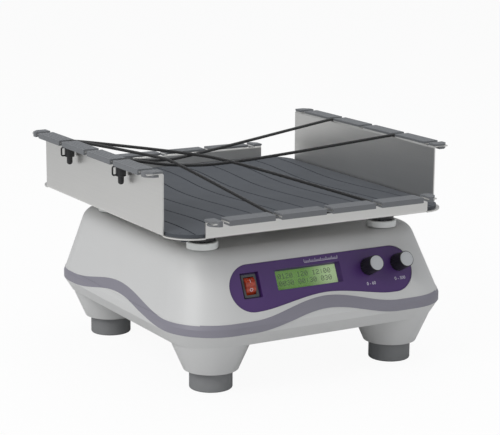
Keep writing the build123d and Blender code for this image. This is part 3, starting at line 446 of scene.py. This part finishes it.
@dataclass(frozen=True)
class BraidFinish:
    """Braided elastic cord: two sets of strands that cross along the cord."""

    name: str = "braided_elastic"
    colour: tuple[float, float, float] = (20, 20, 22)
    turns: float = 260.0
    strands: float = 8.0

    def build(self, groups: EffectGroups) -> bpy.types.Material:
        """Makes the material.

        Args:
            groups: the shared effects.

        Returns:
            The finished material.
        """
        material, desk, shader = start_material(self.name)
        place = desk.add("ShaderNodeTexCoord")
        parts = desk.add("ShaderNodeSeparateXYZ")
        desk.wire(place.outputs["UV"], parts.inputs[0])
        along = desk.calc("MULTIPLY", parts.outputs[0], self.turns * math.tau)
        around = desk.calc("MULTIPLY", parts.outputs[1], self.strands * math.tau / 2)
        left = desk.calc("SINE", desk.calc("ADD", along, around), 0.0)
        right = desk.calc("SINE", desk.calc("SUBTRACT", along, around), 0.0)
        height = desk.spread(desk.calc("MAXIMUM", left, right), 0.0, 1.0)
        bump = desk.add("ShaderNodeBump")
        bump.inputs["Distance"].default_value = 0.0002
        desk.wire(height, bump.inputs["Height"])
        desk.wire(bump.outputs["Normal"], shader.inputs["Normal"])
        # Painted shade: the grooves between the strands are painted darker, at 0.45 of the cord's colour
        shade = desk.blend(height, srgb(*[0.45 * c for c in self.colour]), srgb(*self.colour))
        tone = desk.add("ShaderNodeGroup", node_tree=groups.tone)
        tone.inputs["Drift"].default_value = 0.08
        desk.wire(shade, tone.inputs["Color"])
        desk.wire(tone.outputs["Color"], shader.inputs["Base Color"])
        shader.inputs["Roughness"].default_value = 0.72
        shader.inputs["Sheen Weight"].default_value = 0.25
        return material


@dataclass(frozen=True)
class DisplayFinish:
    """Backlit face of the character display: green on the left, paler towards the right, where a reflection in
    the cover glass is painted into the colour and its glow.
    """

    name: str = "backlit_display_painted_reflection"
    left: tuple[float, float, float] = (84, 134, 30)
    # Pale colour towards the right: a painted reflection of the cover glass
    right: tuple[float, float, float] = (168, 194, 142)
    glow: float = 0.3

    def build(self, groups: EffectGroups) -> bpy.types.Material:
        """Makes the material.

        Args:
            groups: the shared effects.

        Returns:
            The finished material.
        """
        material, desk, shader = start_material(self.name)
        place = desk.add("ShaderNodeTexCoord")
        parts = desk.add("ShaderNodeSeparateXYZ")
        desk.wire(place.outputs["Object"], parts.inputs[0])
        middle = (BASE_CENTRE[0] + DISPLAY_CENTRE[0]) * MM
        half = DISPLAY_SIZE[0] / 2 * MM
        # Ramp to the pale right part: a painted reflection of the cover glass, which also glows with the
        # backlight
        across = desk.add("ShaderNodeMapRange", interpolation_type="SMOOTHSTEP")
        across.inputs["From Min"].default_value = middle - half * 0.1
        across.inputs["From Max"].default_value = middle + half * 0.9
        desk.wire(parts.outputs[0], across.inputs["Value"])
        colour = desk.blend(across.outputs["Result"], srgb(*self.left), srgb(*self.right))
        tone = desk.add("ShaderNodeGroup", node_tree=groups.tone)
        tone.inputs["Drift"].default_value = 0.05
        desk.wire(colour, tone.inputs["Color"])
        desk.wire(tone.outputs["Color"], shader.inputs["Base Color"])
        desk.wire(tone.outputs["Color"], shader.inputs["Emission Color"])
        shader.inputs["Emission Strength"].default_value = self.glow
        shader.inputs["Roughness"].default_value = 0.35
        return material


@dataclass(frozen=True)
class ClearFinish:
    """Clear cover: mostly see-through, with a plain gloss and faint haze."""

    name: str = "clear_cover"
    haze: float = 0.05

    def build(self, groups: EffectGroups) -> bpy.types.Material:
        """Makes the material.

        Args:
            groups: the shared effects.

        Returns:
            The finished material.
        """
        material, desk, shader = start_material(self.name)
        tone = desk.add("ShaderNodeGroup", node_tree=groups.grain)
        tone.inputs["Gloss"].default_value = 0.08
        tone.inputs["Uneven"].default_value = 0.03
        desk.wire(tone.outputs["Roughness"], shader.inputs["Roughness"])
        shader.inputs["Base Color"].default_value = (0.9, 0.95, 0.88, 1.0)
        shader.inputs["Alpha"].default_value = self.haze
        return material


@dataclass(frozen=True)
class GlowFinish:
    """Translucent rocker with a lamp behind it: brighter in the middle of small cells across its face."""

    name: str = "lit_rocker"
    rim: tuple[float, float, float] = (92, 16, 5)
    core: tuple[float, float, float] = (186, 62, 24)
    glow: float = 0.16

    def build(self, groups: EffectGroups) -> bpy.types.Material:
        """Makes the material.

        Args:
            groups: the shared effects.

        Returns:
            The finished material.
        """
        material, desk, shader = start_material(self.name)
        place = desk.add("ShaderNodeTexCoord")
        cells = desk.add("ShaderNodeTexVoronoi")
        cells.inputs["Scale"].default_value = 420.0
        desk.wire(place.outputs["Object"], cells.inputs["Vector"])
        share = desk.spread(cells.outputs["Distance"], 0.85, 0.1)
        colour = desk.blend(share, srgb(*self.rim), srgb(*self.core))
        tone = desk.add("ShaderNodeGroup", node_tree=groups.tone)
        tone.inputs["Drift"].default_value = 0.15
        desk.wire(colour, tone.inputs["Color"])
        desk.wire(tone.outputs["Color"], shader.inputs["Base Color"])
        desk.wire(tone.outputs["Color"], shader.inputs["Emission Color"])
        shader.inputs["Emission Strength"].default_value = self.glow
        shader.inputs["Roughness"].default_value = 0.22
        shader.inputs["Coat Weight"].default_value = 0.4
        return material


@dataclass
class Wardrobe:
    """Every finish of the shaker, and which nodes wear it."""

    groups: EffectGroups = field(default_factory=EffectGroups)
    made: dict[str, bpy.types.Material] = field(default_factory=dict)

    def finishes(self) -> list[tuple[object, list[str]]]:
        """Lists the finishes.

        Returns:
            Pairs of a finish and the names of the nodes that wear it.
        """
        posts = ["front_left", "front_right", "rear_left", "rear_right"]
        return [
            (Finish("housing_plastic", HOUSING_GREY, 0.42, grain_scale=1900.0, grain_depth=0.00003, drift=0.012,
                    specks=0.015, wave_colour=BAND_GREY), ["upper_housing", "lower_housing"]),
            (Finish("band_plastic", BAND_GREY, 0.5, drift=0.02, wave_colour=HOUSING_GREY, on_wave=True),
             ["trim_band"]),
            (Finish("foot_rubber", (130, 131, 132), 0.72, grain_scale=900.0, grain_depth=0.00006, drift=0.05,
                    specks=0.05), ["rubber_feet"]),
            (Finish("brushed_stainless", (224, 223, 220), 0.36, 1.0, grain_depth=0.000004, drift=0.02,
                    specks=0.0, uneven=0.05, pattern=Pattern.BRUSHED), ["tray_pan"]),
            (Finish("mat_rubber", (66, 70, 76), 0.6, grain_scale=1100.0, grain_depth=0.00008, drift=0.06,
                    specks=0.08), ["rubber_mat", "mat_rivets"]),
            (Finish("strip_plastic", (112, 114, 117), 0.55, grain_depth=0.00002, drift=0.03, uneven=0.05,
                    pattern=Pattern.LENGTHWAYS, stretch=(30.0, 30.0, 3000.0)),
             ["side_strips", "end_strips", "strip_end_caps"]),
            (Finish("panel_film", (74, 44, 106), 0.4, grain_scale=2400.0, grain_depth=0.00002, drift=0.03,
                    specks=0.03), ["control_panel"]),
            (Finish("black_plastic", (26, 26, 28), 0.4, drift=0.06),
             ["knob_left", "knob_right", "cord_lock_rear", "cord_lock_front", "lock_plunger_rear",
              "lock_plunger_front", "mains_inlet", "corner_hubs"]),
            (Finish("bezel_plastic", (74, 78, 80), 0.38, drift=0.04), ["switch_frame"]),
            (Finish("cap_plastic", (188, 190, 192), 0.38, drift=0.02), ["knob_cap_left", "knob_cap_right"]),
            (Finish("white_acetal", (226, 228, 226), 0.36, drift=0.02), ["idler_cup_" + p for p in posts]),
            (Finish("zinc_steel", (170, 172, 176), 0.3, 1.0, drift=0.05, uneven=0.1),
             ["foot_screws", "small_screws", "housing_screws", "hub_screws", "power_supply", "potentiometers",
              "base_bearings", "tray_bearings", "drive_shaft", "motor_shaft", "pot_shaft_left",
              "pot_shaft_right", "lock_spring_rear", "lock_spring_front"] + ["idler_pins_" + p for p in posts]),
            (Finish("machined_aluminium", (196, 198, 202), 0.36, 1.0, drift=0.04, uneven=0.08,
                    pattern=Pattern.BRUSHED, stretch=(900.0, 900.0, 2600.0)),
             ["support_pillars", "bearing_plate", "drive_bearing_housing", "idler_housings", "drive_pulley",
              "motor_pulley", "tray_hub"]),
            (Finish("dark_iron", (62, 63, 66), 0.55, 0.6, grain_scale=700.0, grain_depth=0.00008, drift=0.1),
             ["counterweight", "motor"]),
            (Finish("belt_rubber", (34, 34, 35), 0.7, drift=0.08), ["drive_belt"]),
            (Finish("board_lacquer", (24, 84, 48), 0.3, drift=0.1, specks=0.1, coat=0.3), ["control_board"]),
            (DisplayFinish(), ["lcd_module"]),
            (ClearFinish(), ["lcd_window"]),
            (GlowFinish(), ["rocker_button"]),
            (BraidFinish(), []),
            (Finish("white_print", (214, 212, 222), 0.45, drift=0.03), []),
            (Finish("digit_ink", (18, 40, 16), 0.5, drift=0.05), []),
        ]

    def dress(self) -> None:
        """Makes each finish and gives it to its nodes."""
        for finish, nodes in self.finishes():
            material = finish.build(self.groups)
            self.made[finish.name] = material
            for name in nodes:
                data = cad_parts[name].data
                data.materials.clear()
                data.materials.append(material)
            LOG.info("finish %s on %d nodes", finish.name, len(nodes))


@dataclass
class HoldDownCords:
    """The two elastic cords that run between the walls' notches, as smooth braided lines."""

    wardrobe: Wardrobe
    radius: float = 1.5
    rear: tuple[tuple[float, float, float], ...] = (
        (-151.7, 57.7, 203.35), (-151.7, 57.7, 207.25), (-142.7, 57.7, 206.95), (-67.9, -26.0, 202.1),
        (-39.4, -56.0, 197.5), (53.0, -151.7, 166.95), (53.0, -156.1, 166.95), (53.0, -156.1, 162.4),
        (-53.0, -156.1, 162.4), (-53.0, -156.1, 166.95), (-53.0, -151.7, 166.95), (-96.2, -56.0, 200.4),
        (-103.4, -39.7, 203.2), (-142.7, 54.3, 206.95), (-151.7, 54.3, 207.25), (-151.7, 54.3, 203.35))
    front: tuple[tuple[float, float, float], ...] = (
        (-151.7, -57.7, 203.35), (-151.7, -57.7, 207.25), (-142.7, -57.7, 206.95), (-96.2, -56.0, 197.0),
        (-39.4, -56.0, 194.1), (143.7, -56.0, 206.95), (148.1, -56.0, 206.95), (148.1, -56.0, 202.4),
        (148.1, 56.0, 202.4), (148.1, 56.0, 206.95), (143.7, 56.0, 206.95), (-67.9, -26.0, 198.7),
        (-103.4, -39.7, 199.8), (-142.7, -54.3, 206.95), (-151.7, -54.3, 207.25), (-151.7, -54.3, 203.35))

    def _line(self, name: str, points: Sequence[tuple[float, float, float]]) -> bpy.types.Object:
        """Makes one cord.

        Args:
            name: the piece's name.
            points: the route in millimetres.

        Returns:
            The curve.
        """
        data = bpy.data.curves.new(name, "CURVE")
        data.dimensions = "3D"
        data.resolution_u = 8
        data.bevel_depth = self.radius * MM
        data.bevel_resolution = 4
        data.use_fill_caps = True
        spline = data.splines.new("NURBS")
        spline.points.add(len(points) - 1)
        for point, place in zip(spline.points, points):
            point.co = (place[0] * MM, place[1] * MM, place[2] * MM, 1.0)
        spline.order_u = 3
        spline.use_endpoint_u = True
        cord = bpy.data.objects.new(name, data)
        bpy.context.scene.collection.objects.link(cord)
        data.materials.append(self.wardrobe.made["braided_elastic"])
        return cord

    def build(self) -> None:
        for name, points, length in (("rear", self.rear, 0.6636), ("front", self.front, 0.7462)):
            cord = self._line("elastic_cord_" + name, points)
            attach(cord, "tray")
            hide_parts(name + "_cord")
            LOG.info("cord %s, %.3f m", name, length)


GLYPHS: dict[str, tuple[str, ...]] = {
    "0": ("01110", "10001", "10011", "10101", "11001", "10001", "01110"),
    "1": ("00100", "01100", "00100", "00100", "00100", "00100", "01110"),
    "2": ("01110", "10001", "00001", "00110", "01000", "10000", "11111"),
    "3": ("01110", "10001", "00001", "00110", "00001", "10001", "01110"),
    ":": ("00000", "00100", "00100", "00000", "00100", "00100", "00000"),
}


@dataclass
class DisplayDigits:
    """Plain numbers in square dots on the character display."""

    wardrobe: Wardrobe
    rows: tuple[str, ...] = ("0120 120 12:00", "0030 00:30 030")
    dot: float = 0.62
    gap: float = 0.66
    cell: float = 4.1
    row_step: float = 6.6
    left_edge: float = 3.0
    top_edge: float = 2.6
    depth: float = 6.97

    def build(self) -> None:
        """Makes the dots as one thin piece."""
        clear_selection()
        bpy.ops.mesh.primitive_plane_add(size=self.dot * MM, location=(0, 0, 0))
        piece = bpy.context.active_object
        piece.name = "display_digits"
        bpy.ops.object.mode_set(mode="EDIT")
        bpy.ops.mesh.delete(type="VERT")
        for row, text in enumerate(self.rows):
            for column, letter in enumerate(text):
                self._letter(letter, column, row)
        bpy.ops.object.mode_set(mode="OBJECT")
        settle(piece, panel_matrix(*DISPLAY_CENTRE, self.depth))
        piece.data.materials.append(self.wardrobe.made["digit_ink"])
        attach(piece, "base")
        LOG.info("display digits, %d dots", len(piece.data.polygons))

    def _letter(self, letter: str, column: int, row: int) -> None:
        """Adds one character's dots.

        Args:
            letter: a digit, a colon or a space.
            column, row: its cell on the display.
        """
        if letter not in GLYPHS:
            return
        left = -DISPLAY_SIZE[0] / 2 + self.left_edge + column * self.cell
        top = DISPLAY_SIZE[1] / 2 - self.top_edge - row * self.row_step
        for line, dots in enumerate(GLYPHS[letter]):
            for place, lit in enumerate(dots):
                if lit == "1":
                    spot = ((left + place * self.gap) * MM, (top - line * self.gap) * MM, 0.0)
                    bpy.ops.mesh.primitive_plane_add(size=self.dot * MM, location=spot)


@dataclass
class PanelPrint:
    """Plain white numbers, tick marks and switch marks printed on the panel."""

    wardrobe: Wardrobe
    lift: float = 0.03
    ink: float = 0.02
    number_size: float = 4.2
    switch_mark_size: float = 4.4
    switch_mark_v: float = 3.9
    left_numbers: tuple[float, float] = (52.75, 23.2)
    right_numbers: tuple[float, float] = (85.5, 24.4)
    scale_ends: tuple[float, float] = (-14.0, 22.0)
    scale_v: float = 51.3
    scale_marks: int = 31
    tall_mark: float = 2.6
    short_mark: float = 1.4
    mark_width: float = 0.32
    line_width: float = 0.3

    def _text(self, name: str, body: str, size: float, place: Matrix, rides: str) -> None:
        """Prints a plain mark.

        Args:
            name: the piece's name.
            body: the characters.
            size: their height in millimetres.
            place: where they go.
            rides: the body that carries them.
        """
        clear_selection()
        bpy.ops.object.text_add(location=(0, 0, 0))
        piece = bpy.context.active_object
        piece.name = name
        piece.data.body = body
        piece.data.size = size * MM
        piece.data.align_x = "CENTER"
        piece.data.align_y = "CENTER"
        piece.data.extrude = self.ink * MM
        bpy.ops.object.convert(target="MESH")
        piece = bpy.context.active_object
        settle(piece, place)
        piece.data.materials.clear()
        piece.data.materials.append(self.wardrobe.made["white_print"])
        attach(piece, rides)
        LOG.info("print %s", name)

    def _ticks(self, name: str) -> None:
        """Prints a row of tick marks on a thin line, each fifth one tall.

        Args:
            name: the piece's name.
        """
        clear_selection()
        bpy.ops.mesh.primitive_cube_add(size=MM, location=(0, 0, 0))
        piece = bpy.context.active_object
        piece.name = name
        bpy.ops.object.mode_set(mode="EDIT")
        bpy.ops.mesh.delete(type="VERT")
        first, last = self.scale_ends
        thick = 2 * self.ink
        for i in range(self.scale_marks):
            tall = self.tall_mark if i % 5 == 0 else self.short_mark
            u = first + (last - first) * i / (self.scale_marks - 1) - DISPLAY_CENTRE[0]
            bpy.ops.mesh.primitive_cube_add(size=MM, location=(u * MM, tall / 2 * MM, 0),
                                            scale=(self.mark_width, tall, thick))
        middle = (first + last) / 2 - DISPLAY_CENTRE[0]
        bpy.ops.mesh.primitive_cube_add(size=MM, location=(middle * MM, -self.line_width * MM, 0),
                                        scale=(last - first, self.line_width, thick))
        bpy.ops.object.mode_set(mode="OBJECT")
        settle(piece, panel_matrix(DISPLAY_CENTRE[0], self.scale_v, PANEL_FACE - self.lift))
        piece.data.materials.append(self.wardrobe.made["white_print"])
        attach(piece, "base")
        LOG.info("ticks %s", name)

    def _rocker_place(self, v: float) -> Matrix:
        """Finds the rocker's face.

        Args:
            v: millimetres up the slope from the rocker's middle.

        Returns:
            The matrix just off the face there, whose z runs out of it.
        """
        start = panel_matrix(SWITCH_CENTRE[0], SWITCH_CENTRE[1] + v, -20.0)
        inward = -start.col[2].to_3d()
        _, spot, normal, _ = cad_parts["rocker_button"].ray_cast(start.translation, inward)
        right = Vector((1, 0, 0))
        return matrix_of(right, normal.cross(right), normal, spot + normal * self.lift * MM)

    def build(self) -> None:
        """Prints everything on the panel and the rocker."""
        for name, mark, side in (("switch_on_mark", "I", 1), ("switch_off_mark", "O", -1)):
            place = self._rocker_place(side * self.switch_mark_v)
            self._text(name, mark, self.switch_mark_size, place, "rocker")
        self._ticks("scale_marks")
        for name, mark, spot in (("left_dial_numbers", "0 - 60", self.left_numbers),
                                 ("right_dial_numbers", "0 - 300", self.right_numbers)):
            self._text(name, mark, self.number_size, panel_matrix(*spot, PANEL_FACE - self.lift), "base")


@dataclass
class Studio:
    """Floor, light and camera."""

    eye: tuple[float, float, float] = (-805.2, -1409.4, 481.5)
    yaw: float = 30.22
    pitch: float = 12.28
    roll: float = 0.38
    focal_px: float = 1693.9

    def _camera(self) -> None:
        """Sets the camera at the photograph's place."""
        yaw, pitch, roll = (math.radians(a) for a in (self.yaw, self.pitch, self.roll))
        ahead = Vector((math.sin(yaw) * math.cos(pitch), math.cos(yaw) * math.cos(pitch), -math.sin(pitch)))
        right = Vector((math.cos(yaw), -math.sin(yaw), 0.0))
        up = right.cross(ahead)
        side = right * math.cos(roll) + up * math.sin(roll)
        top = up * math.cos(roll) - right * math.sin(roll)
        data = bpy.data.cameras.new("studio_camera")
        data.sensor_width = 36.0
        data.lens = self.focal_px * 36.0 / 500.0
        data.clip_end = 20.0
        camera = bpy.data.objects.new("studio_camera", data)
        camera.matrix_world = matrix_of(side, top, -ahead, Vector(self.eye) * MM)
        bpy.context.scene.collection.objects.link(camera)
        bpy.context.scene.camera = camera

    @staticmethod
    def _lamp(name: str, place: tuple[float, float, float], size: float, power: float) -> None:
        """Hangs a square soft lamp that faces the tray.

        Args:
            name: the lamp's name.
            place: where it hangs, in metres.
            size: its side in metres.
            power: its power in watts.
        """
        data = bpy.data.lights.new(name, "AREA")
        data.size = size
        data.energy = power
        lamp = bpy.data.objects.new(name, data)
        lamp.location = place
        lamp.rotation_euler = (Vector((0, 0, 0.1)) - Vector(place)).to_track_quat("-Z", "Y").to_euler()
        bpy.context.scene.collection.objects.link(lamp)

    @staticmethod
    def _floor() -> None:
        """Lays a white floor that keeps a faint shadow."""
        clear_selection()
        bpy.ops.mesh.primitive_plane_add(size=12.0, location=(0, 2.0, -0.0004))
        floor = bpy.context.active_object
        floor.name = "studio_floor"
        material = bpy.data.materials.new("white_floor")
        material.use_nodes = True
        desk = NodeDesk(material.node_tree)
        paper = desk.add("ShaderNodeBsdfDiffuse")
        paper.inputs["Color"].default_value = (0.72, 0.72, 0.72, 1.0)
        glow = desk.add("ShaderNodeEmission")
        mixed = desk.add("ShaderNodeMixShader")
        path = desk.add("ShaderNodeLightPath")
        desk.wire(desk.calc("MULTIPLY", path.outputs["Is Camera Ray"], 0.94), mixed.inputs[0])
        desk.wire(paper.outputs[0], mixed.inputs[1])
        desk.wire(glow.outputs[0], mixed.inputs[2])
        out = desk.add("ShaderNodeOutputMaterial")
        desk.wire(mixed.outputs[0], out.inputs["Surface"])
        floor.data.materials.append(material)

    @staticmethod
    def _world() -> None:
        """Sets an even pale surround, white where the camera sees it."""
        world = bpy.data.worlds.new("pale_surround")
        world.use_nodes = True
        desk = NodeDesk(world.node_tree)
        soft = desk.add("ShaderNodeBackground")
        soft.inputs["Color"].default_value = (0.95, 0.97, 1.0, 1.0)
        soft.inputs["Strength"].default_value = 0.44
        white = desk.add("ShaderNodeBackground")
        white.inputs["Color"].default_value = (1.0, 1.0, 1.0, 1.0)
        white.inputs["Strength"].default_value = 1.0
        path = desk.add("ShaderNodeLightPath")
        mixed = desk.add("ShaderNodeMixShader")
        desk.wire(path.outputs["Is Camera Ray"], mixed.inputs[0])
        desk.wire(soft.outputs[0], mixed.inputs[1])
        desk.wire(white.outputs[0], mixed.inputs[2])
        out = desk.add("ShaderNodeOutputWorld")
        desk.wire(mixed.outputs[0], out.inputs["Surface"])
        bpy.context.scene.world = world

    def build(self) -> None:
        """Sets up floor, light and camera."""
        self._camera()
        self._floor()
        self._world()
        self._lamp("key_lamp", (-1.9, -0.6, 1.7), 1.4, 31.0)
        self._lamp("front_lamp", (0.9, -2.2, 1.2), 1.6, 3.0)
        self._lamp("top_lamp", (0.2, 0.2, 2.2), 1.6, 19.0)
        bpy.context.scene.view_settings.view_transform = "Standard"
        LOG.info("studio ready")


def main() -> None:
    """Dresses the model and sets the studio."""
    logging.basicConfig(level=logging.INFO)
    Studio().build()
    wardrobe = Wardrobe()
    wardrobe.dress()
    HoldDownCords(wardrobe).build()
    DisplayDigits(wardrobe).build()
    PanelPrint(wardrobe).build()


if __name__ == "__main__":
    main()
